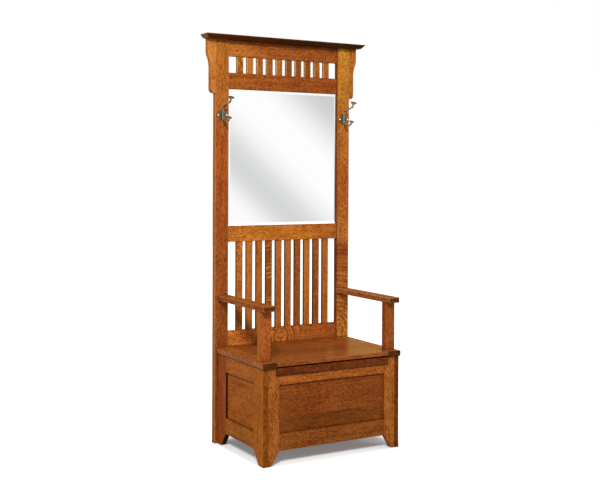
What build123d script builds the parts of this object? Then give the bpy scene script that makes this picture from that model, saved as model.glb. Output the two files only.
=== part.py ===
"""Mission hall seat: a lift-lid bench with arms under a tall back with mirror and coat hooks.

Millimetres, +Z up, +Y towards the wall. The origin is on the floor, at the centre of the
piece's footprint.
"""
from build123d import *
import os
from math import atan2, degrees

# Overall sizes
overall_height = 1956
back_width = 756
seat_height = 459
seat_depth = 480
seat_width = 736

# Back posts and the boards between them
post_width = 71
post_depth = 28
rail_thickness = 20
rail_setback = 4
crest_rail_width = 78
crest_opening = 79
mirror_opening = 661
mid_rail_width = 76
bottom_rail_rise = 75
bottom_rail_width = 127
tenon_length = 25
tenon_thickness = 8
tenon_shoulder = 8
crown_tenon_height = 12
crown_tenon_shoulder = 14
edge_ease = 1.5
rail_ease = 1

# Slats
slat_count = 10
slat_width = 35
slat_gap = 19
slat_thickness = 12.5
slat_housing = 8
slat_ease = 1

# Crown board and corbels
crown_length = 888
crown_overhang = 45
crown_thickness = 20
crown_edge = 5
corbel_top_width = 40.5
corbel_foot_width = 24.5
corbel_height = 258
corbel_shoulder = 57
corbel_sweep = 80
corbel_sweep_share = 0.36
corbel_round = 19

# Mirror
mirror_recess = 10
mirror_rabbet = 8
mirror_thickness = 5
mirror_edge_thickness = 3.5
mirror_bevel = 20
mirror_backboard_thickness = 4
retainer_width = 12

# Arms and their posts
arm_centre = 334.5
arm_width = 61
arm_thickness = 25
arm_top = 710
arm_setback = 2
arm_corner = 8
arm_ease = 2
arm_tenon_length = 18
arm_tenon_thickness = 10
arm_tenon_shoulder = 10
arm_post_width = 55
arm_post_depth = 28
arm_post_setback = 42
arm_post_head_tenon = 16
arm_post_foot_tenon = 18
arm_post_tenon_shoulder = 8

# Seat boards and lid
strip_thickness = 26
side_strip_width = 71
rear_strip_depth = 78
lid_thickness = 20
seat_ease = 2.5
batten_width = 40
batten_thickness = 18
batten_offset = 190
batten_end_gap = 26
bumper_radius = 6
bumper_offset = 220

# Box under the seat
base_width = 724
base_setback = 7
side_thickness = 24
front_thickness = 22
side_stile_width = 94
front_stile_width = 57
box_rail_width = 75
foot_height = 65
front_foot_slant = 39
side_foot_slant = 50
toe_round = 18
panel_recess = 9
panel_thickness = 7
panel_groove = 9
panel_joint = 67
box_tenon_length = 22
box_tenon_shoulder = 10
grip_strip_height = 33
grip_strip_overlap = 16
floor_thickness = 10
cleat_size = 18
back_panel_lap = 40

# Coat hooks
hook_below_crown = 363
hook_plate_width = 38
hook_plate_height = 46
hook_plate_thickness = 4
hook_ear_spread = 23
hook_ear_radius = 7.5
hook_bar_width = 10
hook_bar_depth = 7
hook_bar_bevel = 2
hook_standoff = 9
hook_boss_height = 34
hook_boss_width = 7
hook_reach = 89.5
hook_tip_lean = 5
hook_arm_rise = 58.5
hook_tip_rise = 71
hook_arm_root = 38
hook_drop = 36
hook_bowl = 43
hook_lower_reach = 72.5
hook_lower_tip = 4
hook_lower_rise = 28
hook_lower_lift = 21
hook_corner = 28
hook_neck_round = 20
hook_cap_radius = 16
hook_low_cap_radius = 12.5
hook_neck_share = 0.34
hook_flare_share = 0.5
hook_edge_share = 0.13
hook_crown_share = 0.7

# Hinges
hinge_spacing = 380
hinge_length = 64
hinge_leaf_drop = 17
hinge_leaf_thickness = 1.6
hinge_gap = 2
hinge_barrel_radius = 3.2
hinge_pin_radius = 1.5
hinge_axis_rise = 1
knuckle_count = 3
knuckle_gap = 0.3

# Fits
fit = 0.1
running_fit = 0.05
running_gap = 0.3
lid_gap = 1.5
swing_room = 0.5
overrun = 5

# Places worked out from the sizes
overall_depth = seat_depth + post_depth
post_front = overall_depth / 2 - post_depth
post_back = overall_depth / 2
post_x = (back_width - post_width) / 2
post_inner = back_width / 2 - post_width
post_height = overall_height - crown_thickness
rail_front = post_front + rail_setback
rail_back = rail_front + rail_thickness
rail_y = (rail_front + rail_back) / 2
crest_top_z = post_height - crest_rail_width
crest_low_z = crest_top_z - crest_opening
mirror_top_z = crest_low_z - crest_rail_width
mid_rail_z = mirror_top_z - mirror_opening
hook_z = post_height - hook_below_crown
slat_top_z = mid_rail_z - mid_rail_width
bottom_rail_top = seat_height + bottom_rail_rise
bottom_rail_z = bottom_rail_top - bottom_rail_width
slat_pitch = slat_width + slat_gap

seat_front = post_front - seat_depth
strip_z = seat_height - strip_thickness
strip_inner = seat_width / 2 - side_strip_width
lid_z = seat_height - lid_thickness
lid_half = strip_inner - lid_gap
rear_strip_front = post_front - rear_strip_depth
hinge_y = rear_strip_front - hinge_gap / 2
lid_rear = rear_strip_front - hinge_gap
hinge_z = seat_height + hinge_axis_rise

base_front = seat_front + base_setback
side_outer = base_width / 2
side_inner = side_outer - side_thickness
front_inner = base_front + front_thickness
front_opening = side_inner - front_stile_width
panel_low = foot_height + box_rail_width
panel_high = strip_z - box_rail_width
floor_z = foot_height + cleat_size

arm_front = seat_front + arm_setback
arm_z = arm_top - arm_thickness
arm_post_front = seat_front + arm_post_setback
arm_post_y = arm_post_front + arm_post_depth / 2

hinge_xs = (-hinge_spacing / 2, hinge_spacing / 2)
knuckle_length = hinge_length / knuckle_count


def save(piece, label):
    """Label a finished piece and write it out."""
    piece.part.label = label
    export_step(piece.part, f"parts/{label}.step")


def save_pair(piece, name):
    """Write the right-hand piece and its mirror image on the left."""
    save(piece, f"right_{name}")
    with BuildPart() as twin:
        mirror(piece.part, about=Plane.YZ)
    save(twin, f"left_{name}")


def block(x, y, z, mode=Mode.ADD):
    """Add or cut, in the open part, the square block between the ends of three ranges."""
    with Locations(((x[0] + x[1]) / 2, (y[0] + y[1]) / 2, z[0])):
        Box(x[1] - x[0], y[1] - y[0], z[1] - z[0],
            align=(Align.CENTER, Align.CENTER, Align.MIN), mode=mode)


def span(centre, size):
    """The two ends of a size laid evenly about its centre."""
    return (centre - size / 2, centre + size / 2)


def easing(sketch, ease):
    """Clip every corner of the open sketch, for the eased edges of the board drawn on it."""
    chamfer(sketch.vertices(), ease)


def back_post():
    """A full-height post, mortised for five rails, the arm and the mirror's rabbet."""
    with BuildPart() as post:
        with BuildSketch() as section:
            with Locations((post_x, post_front + post_depth / 2)):
                Rectangle(post_width, post_depth)
            easing(section, edge_ease)
        extrude(amount=post_height)
        for low, width in rail_places:
            block(
                (post_inner - overrun, post_inner + tenon_length + fit),
                span(rail_y, tenon_thickness + 2 * fit),
                (low + tenon_shoulder - fit, low + width - tenon_shoulder + fit),
                Mode.SUBTRACT,
            )
        block(
            (post_inner - overrun, post_inner + mirror_rabbet),
            (post_front + mirror_recess, post_back + overrun),
            (mid_rail_z - mirror_rabbet, mirror_top_z + mirror_rabbet),
            Mode.SUBTRACT,
        )
        arm_tenon(Mode.SUBTRACT, fit)
        crown_tenon(Mode.ADD)
    return post


def arm_tenon(mode, room=0):
    """The tenon at the arm's rear end, or its mortise in the post where room is given."""
    block(
        span(arm_centre, arm_width - 2 * arm_tenon_shoulder + 2 * room),
        (post_front - room, post_front + arm_tenon_length + room),
        span(arm_z + arm_thickness / 2, arm_tenon_thickness + 2 * room),
        mode,
    )


def crown_tenon(mode, room=0, side=1):
    """The stub tenon on a post's top, or its mortise in the crown where room is given."""
    height = crown_tenon_height + room
    block(
        span(side * post_x, post_width - 2 * crown_tenon_shoulder + 2 * room),
        span(post_front + post_depth / 2, tenon_thickness + 2 * room),
        (post_height - room, post_height + height),
        mode,
    )


def arm_post_tenons(mode, room=0):
    """The stub tenons at both ends of the arm's post, or their mortises."""
    width = arm_post_width - 2 * arm_post_tenon_shoulder + 2 * room
    depth = arm_post_depth - 2 * arm_post_tenon_shoulder + 2 * room
    for low, high in (
        (seat_height - arm_post_foot_tenon, seat_height),
        (arm_z, arm_z + arm_post_head_tenon),
    ):
        block(span(arm_centre, width), span(arm_post_y, depth), (low - room, high + room), mode)


def corbel():
    """A shaped bracket on the post's outer edge, flush with its front and back."""
    edge = back_width / 2
    top_x = edge + corbel_top_width
    foot_x = edge + corbel_foot_width
    shoulder_z = post_height - corbel_shoulder
    sweep_z = shoulder_z - corbel_sweep
    foot_z = post_height - corbel_height
    turn_x = top_x + corbel_sweep_share * (foot_x - top_x)
    turn_z = shoulder_z - corbel_sweep_share * corbel_sweep
    with BuildPart() as bracket:
        with BuildSketch(Plane.XZ.offset(-post_back)):
            with BuildLine():
                Line((edge, post_height), (top_x, post_height))
                Line((top_x, post_height), (top_x, shoulder_z))
                upper = TangentArc((top_x, shoulder_z), (turn_x, turn_z), tangent=(0, -1))
                TangentArc((turn_x, turn_z), (foot_x, sweep_z), tangent=upper % 1)
                Line((foot_x, sweep_z), (foot_x, foot_z))
                Line((foot_x, foot_z), (edge, foot_z))
                Line((edge, foot_z), (edge, post_height))
            corner = make_face().vertices().sort_by(Axis.Y).group_by(Axis.Y)[0].sort_by(Axis.X)[-1]
            fillet(corner, corbel_round)
        extrude(amount=post_depth)
    return bracket


def crown_board():
    """The top board, bevelled under its front and end edges."""
    with BuildPart() as crown:
        with BuildSketch(Plane.XY.offset(post_height)):
            with Locations((0, (post_front - crown_overhang + post_back) / 2)):
                Rectangle(crown_length, post_depth + crown_overhang)
        extrude(amount=crown_thickness)
        under = crown.faces().sort_by(Axis.Z)[0].edges()
        bevelled = under.filter_by(Axis.Y) + under.filter_by(Axis.X).sort_by(Axis.Y)[:1]
        chamfer(bevelled, crown_thickness - crown_edge)
        for side in (-1, 1):
            crown_tenon(Mode.SUBTRACT, fit, side)
    return crown


# Height of each back rail's lower edge, and its width
rail_places = [
    (crest_top_z, crest_rail_width),
    (mirror_top_z, crest_rail_width),
    (slat_top_z, mid_rail_width),
    (bottom_rail_z, bottom_rail_width),
    (foot_height, box_rail_width),
]


def back_rail(low, width, slats_at=None, rabbet_at=None):
    """A rail tenoned into both posts, with slat housings or a mirror rabbet on an edge."""
    with BuildPart() as rail:
        with BuildSketch(Plane.YZ.offset(-post_inner)) as section:
            with Locations((rail_y, low + width / 2)):
                Rectangle(rail_thickness, width)
            easing(section, rail_ease)
        extrude(amount=2 * post_inner)
        block(
            (-post_inner - tenon_length, post_inner + tenon_length),
            span(rail_y, tenon_thickness),
            (low + tenon_shoulder, low + width - tenon_shoulder),
        )
        if slats_at is not None:
            with Locations((0, rail_y, slats_at)):
                with GridLocations(slat_pitch, 0, slat_count, 1):
                    Box(slat_width + 2 * fit, slat_thickness + 2 * fit, 2 * (slat_housing + fit),
                        mode=Mode.SUBTRACT)
        if rabbet_at is not None:
            block(
                (-post_inner - overrun, post_inner + overrun),
                (post_front + mirror_recess, post_back + overrun),
                span(rabbet_at, 2 * mirror_rabbet),
                Mode.SUBTRACT,
            )
    return rail


def slats(low, high):
    """A row of square-edged slats housed in the rails above and below."""
    with BuildPart() as row:
        with BuildSketch(Plane.XY.offset(low - slat_housing)) as section:
            with Locations((0, rail_y)):
                with GridLocations(slat_pitch, 0, slat_count, 1):
                    Rectangle(slat_width, slat_thickness)
            easing(section, slat_ease)
        extrude(amount=high - low + 2 * slat_housing)
    return row


def mirror_pieces():
    """The bevelled glass, its backboard and the retainer strips, loaded from behind."""
    half = post_inner + mirror_rabbet - running_gap
    low = mid_rail_z - mirror_rabbet + running_gap
    high = mirror_top_z + mirror_rabbet - running_gap
    front = post_front + mirror_recess
    centre = (0, (low + high) / 2)
    with BuildPart() as glass:
        with BuildSketch(Plane.XZ.offset(-front)):
            with Locations(centre):
                Rectangle(2 * (half - mirror_bevel), high - low - 2 * mirror_bevel)
        with BuildSketch(Plane.XZ.offset(-front - mirror_thickness + mirror_edge_thickness)):
            with Locations(centre):
                Rectangle(2 * half, high - low)
        loft()
        block((-half, half),
              (front + mirror_thickness - mirror_edge_thickness, front + mirror_thickness),
              (low, high))
    save(glass, "mirror_glass")

    back = front + mirror_thickness
    with BuildPart() as board:
        block((-half, half), (back, back + mirror_backboard_thickness), (low, high))
    save(board, "mirror_backboard")

    strip_y = (back + mirror_backboard_thickness, rail_back)
    with BuildPart() as retainers:
        for side in (-1, 1):
            block(tuple(sorted((side * half, side * (half - retainer_width)))), strip_y, (low, high))
        for edge in ((low, low + retainer_width), (high - retainer_width, high)):
            block((fit + retainer_width - half, half - retainer_width - fit), strip_y, edge)
    save(retainers, "mirror_retainers")


def arm():
    """A flat arm with rounded front corners, tenoned to the back post and set on its own post."""
    with BuildPart() as board:
        with BuildSketch(Plane.XY.offset(arm_z)) as plan:
            with Locations((arm_centre, (arm_front + post_front) / 2)):
                Rectangle(arm_width, post_front - arm_front)
            fillet(plan.vertices().group_by(Axis.Y)[0], arm_corner)
        extrude(amount=arm_thickness)
        rear = board.edges().group_by(Axis.Y)[-1]
        top = board.faces().sort_by(Axis.Z)[-1].edges()
        bottom = board.faces().sort_by(Axis.Z)[0].edges()
        chamfer([edge for edge in top + bottom if edge not in rear], arm_ease)
        arm_tenon(Mode.ADD)
        arm_post_tenons(Mode.SUBTRACT, fit)
    return board


def arm_post():
    """The short post between the seat strip and the arm, with a stub tenon at each end."""
    with BuildPart() as post:
        with BuildSketch(Plane.XY.offset(seat_height)) as section:
            with Locations((arm_centre, arm_post_y)):
                Rectangle(arm_post_width, arm_post_depth)
            easing(section, edge_ease)
        extrude(amount=arm_z - seat_height)
        arm_post_tenons(Mode.ADD)
    return post


def seat_strip():
    """A fixed side board of the seat, its end grain showing at the front."""
    with BuildPart() as strip:
        with BuildSketch(Plane.XZ.offset(-post_front)) as section:
            with Locations((strip_inner, strip_z)):
                Rectangle(side_strip_width, strip_thickness, align=(Align.MIN, Align.MIN))
            chamfer(section.vertices().group_by(Axis.X)[-1], seat_ease)
        extrude(amount=seat_depth)
        arm_post_tenons(Mode.SUBTRACT, fit)
    return strip


def hinge_recess(edge, side):
    """Cut the leaf recesses and barrel grooves in the open board, whose edge is at a place."""
    leaf = sorted((edge - side * overrun, edge + side * (hinge_leaf_thickness + fit)))
    for x in hinge_xs:
        block(span(x, hinge_length + 2 * fit), leaf,
              (hinge_z - hinge_leaf_drop - fit, hinge_z + overrun), Mode.SUBTRACT)
        with Locations(Location((x, hinge_y, hinge_z), (0, 90, 0))):
            Cylinder(hinge_barrel_radius + swing_room, hinge_length + 2 * fit, mode=Mode.SUBTRACT)


def rear_strip():
    """The fixed rear board of the seat, which carries the lid's hinges on its front edge."""
    with BuildPart() as strip:
        block((-strip_inner, strip_inner), (rear_strip_front, rail_front), (strip_z, seat_height))
        hinge_recess(rear_strip_front, 1)
    return strip


def lid_board():
    """The lid, flush with the strips round it and thinner than they are."""
    with BuildPart() as lid:
        with BuildSketch(Plane.YZ.offset(-lid_half)) as section:
            with Locations((seat_front, lid_z)):
                Rectangle(lid_rear - seat_front, lid_thickness, align=(Align.MIN, Align.MIN))
            chamfer(section.vertices().group_by(Axis.X)[0], seat_ease)
        extrude(amount=2 * lid_half)
        hinge_recess(lid_rear, -1)
    return lid


def lid_battens():
    """Two battens screwed under the lid, across its boards, to keep it flat."""
    length = lid_rear - front_inner - 2 * batten_end_gap
    batten_y = (front_inner + lid_rear) / 2
    with BuildPart() as battens:
        for side in (-1, 1):
            block(span(side * batten_offset, batten_width), span(batten_y, length),
                  (lid_z - batten_thickness, lid_z))
        ends = battens.edges().filter_by(Axis.X).group_by(Axis.Z)[0]
        chamfer(ends, batten_thickness / 2)
    return battens


def knuckle_places(own):
    """Centres of the barrel's knuckles that belong to one leaf, along the pin."""
    first = 0 if own == "fixed" else 1
    return [(k - (knuckle_count - 1) / 2) * knuckle_length for k in range(first, knuckle_count, 2)]


def hinge_leaves(own, side):
    """One leaf of every butt hinge: plate, knuckles and pin bore."""
    other = "moving" if own == "fixed" else "fixed"
    plate = sorted((hinge_y + side * hinge_gap / 2,
                    hinge_y + side * (hinge_gap / 2 + hinge_leaf_thickness)))
    with BuildPart() as leaves:
        for x in hinge_xs:
            block(span(x, hinge_length), plate, (hinge_z - hinge_leaf_drop, hinge_z))
            for k in knuckle_places(own):
                with Locations(Location((x + k, hinge_y, hinge_z), (0, 90, 0))):
                    Cylinder(hinge_barrel_radius, knuckle_length - knuckle_gap)
            for k in knuckle_places(other):
                with Locations(Location((x + k, hinge_y, hinge_z), (0, 90, 0))):
                    Cylinder(hinge_barrel_radius + running_gap, knuckle_length + knuckle_gap,
                             mode=Mode.SUBTRACT)
            with Locations(Location((x, hinge_y, hinge_z), (0, 90, 0))):
                Cylinder(hinge_pin_radius + running_fit, hinge_length + overrun, mode=Mode.SUBTRACT)
    return leaves


def hinge_pins():
    """The pins, held by the fixed knuckles."""
    with BuildPart() as pins:
        for x in hinge_xs:
            with Locations(Location((x, hinge_y, hinge_z), (0, 90, 0))):
                Cylinder(hinge_pin_radius, hinge_length)
    return pins


def foot_outline(outer, inner, slant):
    """Corner points of a stile whose inner edge slants out to a foot."""
    toe = inner + slant if outer > inner else inner - slant
    return [(outer, 0), (outer, strip_z), (inner, strip_z), (inner, foot_height), (toe, 0)]


def stile(plane, depth, outer, inner, slant, along, panel_at):
    """A stile cut to a foot at its lower end, grooved and mortised for rails and panel."""
    points = foot_outline(outer, inner, slant)
    with BuildPart() as board:
        with BuildSketch(plane) as face:
            with BuildLine():
                Polyline(*points, close=True)
            make_face()
            toe = face.vertices().sort_by_distance(points[-1])[0]
            fillet(toe, toe_round)
        extrude(amount=depth)
        grooves(along, outer, inner, panel_at)
    return board


def grooves(along, outer, inner, panel_at):
    """Cut a stile's panel groove and its two rail mortises in the open part."""
    way = 1 if outer > inner else -1
    cuts = [
        (panel_groove, panel_low - panel_groove, panel_high + panel_groove),
        (box_tenon_length + fit, foot_height + box_tenon_shoulder - fit,
         panel_low - box_tenon_shoulder + fit),
        (box_tenon_length + fit, panel_high + box_tenon_shoulder - fit,
         strip_z - box_tenon_shoulder + fit),
    ]
    across = (panel_at[0] - fit, panel_at[1] + fit)
    for depth, low, high in cuts:
        run = sorted((inner - way * overrun, inner + way * depth))
        if along == "x":
            block(run, across, (low, high), Mode.SUBTRACT)
        else:
            block(across, run, (low, high), Mode.SUBTRACT)


def box_rail(along, ends, thickness, panel_at, low, groove_up):
    """A rail of the box, tenoned into its stiles and grooved for the panel."""
    tenon = (ends[0] - box_tenon_length, ends[1] + box_tenon_length)
    groove_z = low + box_rail_width if groove_up else low
    pieces = [
        (ends, thickness, (low, low + box_rail_width), Mode.ADD),
        (tenon, panel_at, (low + box_tenon_shoulder, low + box_rail_width - box_tenon_shoulder),
         Mode.ADD),
        ((ends[0] - overrun, ends[1] + overrun), (panel_at[0] - fit, panel_at[1] + fit),
         span(groove_z, 2 * panel_groove), Mode.SUBTRACT),
    ]
    with BuildPart() as rail:
        for run, across, height, mode in pieces:
            if along == "x":
                block(run, across, height, mode)
            else:
                block(across, run, height, mode)
    return rail


def side_frames():
    """Left and right sides of the box: two stiles, two rails and a flat panel each."""
    thickness = (side_inner, side_outer)
    panel = (side_outer - panel_recess - panel_thickness, side_outer - panel_recess)
    plane = Plane.YZ.offset(side_inner)
    rear_edge = post_front - side_stile_width
    front_edge = base_front + side_stile_width
    rear = stile(plane, side_thickness, post_front, rear_edge, side_foot_slant, "y", panel)
    save_pair(rear, "side_rear_stile")
    front = stile(plane, side_thickness, base_front, front_edge, side_foot_slant, "y", panel)
    save_pair(front, "side_front_stile")
    ends = (front_edge, rear_edge)
    save_pair(box_rail("y", ends, thickness, panel, panel_high, False), "side_top_rail")
    save_pair(box_rail("y", ends, thickness, panel, foot_height, True), "side_bottom_rail")
    lap = panel_groove - running_gap
    with BuildPart() as board:
        block(panel, (front_edge - lap, rear_edge + lap), (panel_low - lap, panel_high + lap))
    save_pair(board, "side_panel")


def front_frame():
    """Front of the box, set between the two sides, with its planted grip strip."""
    thickness = (base_front, front_inner)
    panel = (base_front + panel_recess, base_front + panel_recess + panel_thickness)
    plane = Plane.XZ.offset(-front_inner)
    edge = stile(plane, front_thickness, side_inner, front_opening, front_foot_slant, "x", panel)
    save_pair(edge, "front_stile")
    ends = (-front_opening, front_opening)
    save(box_rail("x", ends, thickness, panel, panel_high, False), "front_top_rail")
    save(box_rail("x", ends, thickness, panel, foot_height, True), "front_bottom_rail")
    lap = panel_groove - running_gap
    across = (-front_opening - lap, front_opening + lap)
    with BuildPart() as lower:
        block(across, panel, (panel_low - lap, panel_low + panel_joint))
    save(lower, "front_panel_lower_board")
    with BuildPart() as upper:
        block(across, panel, (panel_low + panel_joint, panel_high + lap))
    save(upper, "front_panel_upper_board")
    half = front_opening + grip_strip_overlap
    with BuildPart() as grip:
        with BuildSketch(Plane.YZ.offset(-half)) as section:
            with Locations((seat_front, strip_z - grip_strip_height)):
                Rectangle(base_setback, grip_strip_height, align=(Align.MIN, Align.MIN))
            fillet(section.vertices().group_by(Axis.X)[0], rail_ease)
        extrude(amount=2 * half)
    save(grip, "front_grip_strip")


def box_inside():
    """Floor, its cleats, the back panel, the rear seat cleat and the lid's bumpers."""
    with BuildPart() as floor:
        block((running_gap - side_inner, side_inner - running_gap),
              (front_inner + running_gap, post_front - running_gap),
              (floor_z, floor_z + floor_thickness))
    save(floor, "box_floor")

    cleat_z = (floor_z - cleat_size, floor_z)
    with BuildPart() as cleats:
        block((-post_inner, post_inner), (front_inner, front_inner + cleat_size), cleat_z)
        block((-post_inner, post_inner), (rail_front - cleat_size, rail_front), cleat_z)
        for side in (-1, 1):
            block(tuple(sorted((side * side_inner, side * (side_inner - cleat_size)))),
                  (front_inner + 2 * cleat_size, post_front - 2 * cleat_size), cleat_z)
    save(cleats, "floor_cleats")

    with BuildPart() as panel:
        block((running_gap - post_inner, post_inner - running_gap), (rail_back, post_back),
              (foot_height + box_rail_width - back_panel_lap, bottom_rail_z + back_panel_lap))
    save(panel, "box_back_panel")

    with BuildPart() as cleat:
        block((-strip_inner, strip_inner), (rail_front - cleat_size, rail_front),
              (strip_z - cleat_size, strip_z))
    save(cleat, "rear_seat_cleat")

    with BuildPart() as bumpers:
        with BuildSketch(Plane.XY.offset(strip_z)):
            with Locations((0, (base_front + front_inner) / 2)):
                with GridLocations(2 * bumper_offset, 0, 2, 1):
                    Circle(bumper_radius)
        extrude(amount=lid_z - strip_z - running_gap)
    save(bumpers, "lid_bumpers")


def hook_route():
    """Centre line of the hook's bar, from its upper tip, round the spine, to its lower tip."""
    spine = -hook_standoff
    return [
        (-hook_reach - hook_tip_lean, hook_tip_rise),
        (-hook_reach, hook_arm_rise),
        (spine, hook_arm_root),
        (spine, -hook_drop),
        (spine - hook_bowl, -hook_drop),
        (-hook_lower_reach, -hook_lower_rise),
        (-hook_lower_reach - hook_lower_tip, -hook_lower_lift),
    ]


def hook_cap(tip, before, radius):
    """A cap for the bar's tip, flared from a narrow neck and turned about the bar's own line."""
    lean = degrees(atan2(before[0] - tip[0], tip[1] - before[1]))
    neck = hook_neck_share * radius
    flare = hook_flare_share * radius
    edge = hook_edge_share * radius
    outline = [
        (0, -edge),
        (neck, -edge),
        (neck, 0),
        (radius, flare),
        (radius, flare + edge),
        (hook_crown_share * radius, flare + 2 * edge),
        (0, flare + 2 * edge),
    ]
    with BuildPart() as cap:
        with BuildSketch(Plane.XZ):
            with BuildLine():
                Polyline(*outline, close=True)
            make_face()
        revolve(axis=Axis.Z)
    place = Location((post_x, post_front + tip[0], hook_z + tip[1]), (lean, 0, 0))
    return cap.part, place


def coat_hook():
    """A cast double hook: eared plate, boss, one bent bar and a flared cap on each tip."""
    route = hook_route()
    plane = Plane(origin=(post_x, post_front, hook_z), x_dir=(0, 1, 0), z_dir=(1, 0, 0))
    with BuildPart() as hook:
        with BuildSketch(Plane.XZ.offset(-post_front)):
            with Locations((post_x, hook_z)):
                Ellipse(hook_plate_width / 2, hook_plate_height / 2)
                with GridLocations(2 * hook_ear_spread, 0, 2, 1):
                    Circle(hook_ear_radius)
                Rectangle(2 * hook_ear_spread, hook_ear_radius)
        extrude(amount=hook_plate_thickness)
        with BuildSketch(Plane.XZ.offset(-post_front)):
            with Locations((post_x, hook_z)):
                Rectangle(hook_boss_width, hook_boss_height)
        extrude(amount=hook_standoff)
        with BuildLine(plane) as path:
            FilletPolyline(*route, radius=[
                hook_neck_round, hook_corner, hook_corner, hook_corner, hook_neck_round,
            ])
        with BuildSketch(Plane(origin=path.line @ 0, z_dir=path.line % 0, x_dir=(1, 0, 0))) as bar:
            Rectangle(hook_bar_width, hook_bar_depth)
            easing(bar, hook_bar_bevel)
        sweep(path=path.line)
        caps = (
            hook_cap(route[0], route[1], hook_cap_radius),
            hook_cap(route[-1], route[-2], hook_low_cap_radius),
        )
        for cap, place in caps:
            with Locations(place):
                add(cap)
    return hook


os.makedirs("parts", exist_ok=True)

save_pair(back_post(), "back_post")
save_pair(corbel(), "corbel")
save(crown_board(), "crown_board")
save(back_rail(*rail_places[0], slats_at=crest_top_z), "crest_upper_rail")
save(back_rail(*rail_places[1], slats_at=crest_low_z, rabbet_at=mirror_top_z), "crest_lower_rail")
save(back_rail(*rail_places[2], slats_at=slat_top_z, rabbet_at=mid_rail_z), "mid_rail")
save(back_rail(*rail_places[3], slats_at=bottom_rail_top), "bottom_back_rail")
save(back_rail(*rail_places[4]), "lower_back_rail")
save(slats(crest_low_z, crest_top_z), "crest_slats")
save(slats(bottom_rail_top, slat_top_z), "back_slats")
mirror_pieces()

save_pair(arm(), "arm")
save_pair(arm_post(), "arm_post")
save_pair(seat_strip(), "seat_strip")
save(rear_strip(), "rear_seat_strip")
save(lid_board(), "lid_board")
save(lid_battens(), "lid_battens")

side_frames()
front_frame()
box_inside()

save(hinge_leaves("fixed", 1), "hinge_fixed_leaves")
save(hinge_leaves("moving", -1), "hinge_moving_leaves")
save(hinge_pins(), "hinge_pins")
save_pair(coat_hook(), "coat_hook")
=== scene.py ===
"""A mission hall seat in quartersawn oak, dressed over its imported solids.

Metres, +Z up, +Y towards the wall, the origin on the floor under the middle of the seat.
"""
import math

import bmesh
import bpy
from mathutils import Matrix, Vector


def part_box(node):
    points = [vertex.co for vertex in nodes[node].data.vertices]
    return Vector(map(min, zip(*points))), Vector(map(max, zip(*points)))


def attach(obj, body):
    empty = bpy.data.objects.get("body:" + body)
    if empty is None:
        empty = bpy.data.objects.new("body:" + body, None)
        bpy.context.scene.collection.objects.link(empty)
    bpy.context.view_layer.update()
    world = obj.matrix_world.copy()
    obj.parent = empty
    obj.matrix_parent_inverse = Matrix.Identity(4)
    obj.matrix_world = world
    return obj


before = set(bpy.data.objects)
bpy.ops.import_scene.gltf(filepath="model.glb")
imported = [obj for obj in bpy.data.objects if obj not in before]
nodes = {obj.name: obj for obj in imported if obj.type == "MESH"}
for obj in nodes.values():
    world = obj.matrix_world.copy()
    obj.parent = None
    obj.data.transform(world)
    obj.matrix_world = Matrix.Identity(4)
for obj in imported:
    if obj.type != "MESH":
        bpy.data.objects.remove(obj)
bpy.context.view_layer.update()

# Back posts
# Two full-height boards of quartersawn white oak, stained honey to russet and lacquered satin.
# They carry everything above the seat and are mortised for the rails. The right one has the
# liveliest figure: fleck that curls near the seat and ripples across the board above it.

MM = 0.001


def linear(code, gain=(1.0, 1.0, 1.0)):
    """An sRGB hex colour as the linear values that a shader takes, each times its gain."""
    parts = [int(code[i:i + 2], 16) / 255 for i in (1, 3, 5)]
    parts = [c / 12.92 if c <= 0.04045 else ((c + 0.055) / 1.055) ** 2.4 for c in parts]
    return [min(c * g, 1.0) for c, g in zip(parts, gain)] + [1.0]


def add_node(tree, kind, settings=None, inputs=None, stops=()):
    """Adds one node to a tree, sets its options and colour stops, and fills or links its inputs."""
    made = tree.nodes.new("ShaderNode" + kind)
    for key, value in (settings or {}).items():
        setattr(made, key, value)
    for k, (place, colour) in enumerate(stops):
        ramp = made.color_ramp.elements
        stop = ramp[k] if k < 2 else ramp.new(place)
        stop.position = place
        stop.color = colour
    for key, value in (inputs or {}).items():
        if isinstance(value, bpy.types.Node):
            value = value.outputs[0]
        if isinstance(value, bpy.types.NodeSocket):
            tree.links.new(value, made.inputs[key])
        else:
            made.inputs[key].default_value = value
    return made


def new_tree(name):
    """A material with an empty node tree."""
    material = bpy.data.materials.new(name)
    material.use_nodes = True
    material.node_tree.nodes.clear()
    return material, material.node_tree


def arris_share(tree, radius_mm, start, full, share):
    """How near a surface is to its own arris, where a rounded copy of it would lean away."""
    rounded = add_node(tree, "Bevel", {"samples": 4}, {"Radius": radius_mm * MM})
    surface = add_node(tree, "NewGeometry")
    likeness = add_node(tree, "VectorMath", {"operation": "DOT_PRODUCT"}, {
        0: rounded, 1: surface.outputs["Normal"],
    })
    return add_node(tree, "MapRange", inputs={
        "Value": likeness.outputs["Value"], "From Min": start, "From Max": full, "To Max": share,
    })


def stain_shades(tree, place, stain):
    """A stain's shades: deep in the soft wood, pale on the hard, golden on flecks, sunk in pores.

    stain is a colour, or (place, colour) pairs for a board that changes along its length.
    """
    gains = {
        "deep": (0.62, 0.52, 0.5), "pale": (1.36, 1.5, 1.45),
        "golden": (1.6, 2.1, 1.9), "sunk": (0.3, 0.22, 0.2),
    }
    if isinstance(stain, str):
        return {shade: linear(stain, gain) for shade, gain in gains.items()}
    first, last = stain[0][0], stain[-1][0]
    along = add_node(tree, "MapRange", inputs={"Value": place, "From Min": first, "From Max": last})
    shades = {}
    for shade, gain in gains.items():
        stops = [((stop - first) / (last - first), linear(code, gain)) for stop, code in stain]
        shades[shade] = add_node(tree, "ValToRGB", inputs={0: along}, stops=stops)
    return shades


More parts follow.
